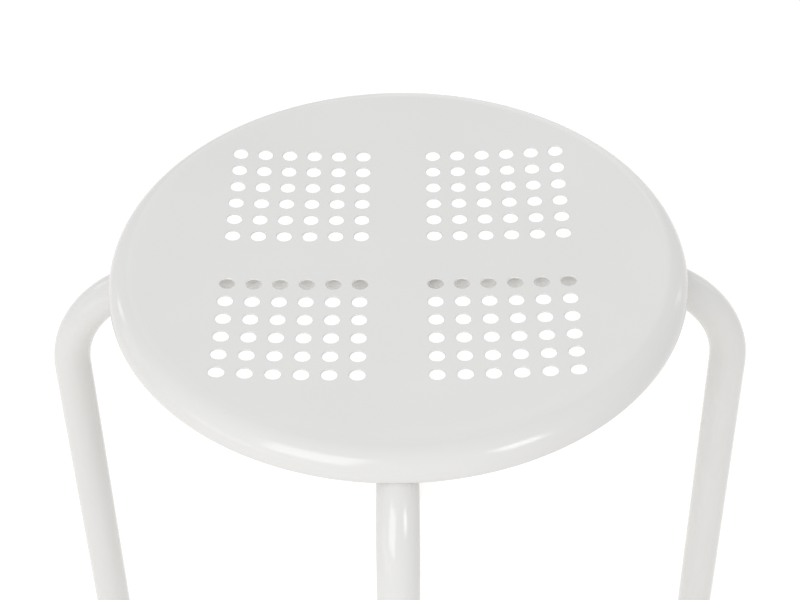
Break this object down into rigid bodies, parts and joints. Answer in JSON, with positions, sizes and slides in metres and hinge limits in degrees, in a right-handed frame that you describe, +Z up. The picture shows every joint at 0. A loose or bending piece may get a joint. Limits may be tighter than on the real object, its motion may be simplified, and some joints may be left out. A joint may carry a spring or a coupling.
{
  "type": "stacking stool",
  "caption": "Round stacking stool: a dished, perforated steel seat with a rolled rim on bent tube frames that cross under it, with plastic feet.",
  "frame": {"origin": "on the floor, under the middle of the seat", "axes": "+Z up, +X towards the right leg, +Y towards the back leg"},
  "size_m": [0.4402, 0.4402, 0.45],
  "materials": {
    "powder_coat": "satin white powder coat",
    "foot_plastic": "moulded white plastic",
    "zinc_steel": "zinc-plated steel"
  },
  "bodies": {
    "root": {"seat": "powder_coat", "frame_left_right": "powder_coat", "frame_front_back": "powder_coat", "foot_right": "foot_plastic", "weld_bush_right": "powder_coat", "saddle_washer_right": "zinc_steel", "screw_right": "zinc_steel", "foot_back": "foot_plastic", "weld_bush_back": "powder_coat", "saddle_washer_back": "zinc_steel", "screw_back": "zinc_steel", "foot_left": "foot_plastic", "weld_bush_left": "powder_coat", "saddle_washer_left": "zinc_steel", "screw_left": "zinc_steel", "foot_front": "foot_plastic", "weld_bush_front": "powder_coat", "saddle_washer_front": "zinc_steel", "screw_front": "zinc_steel", "weld_bush_middle": "powder_coat", "flat_washer_middle": "zinc_steel", "screw_middle": "zinc_steel"}
  },
  "joints": []
}
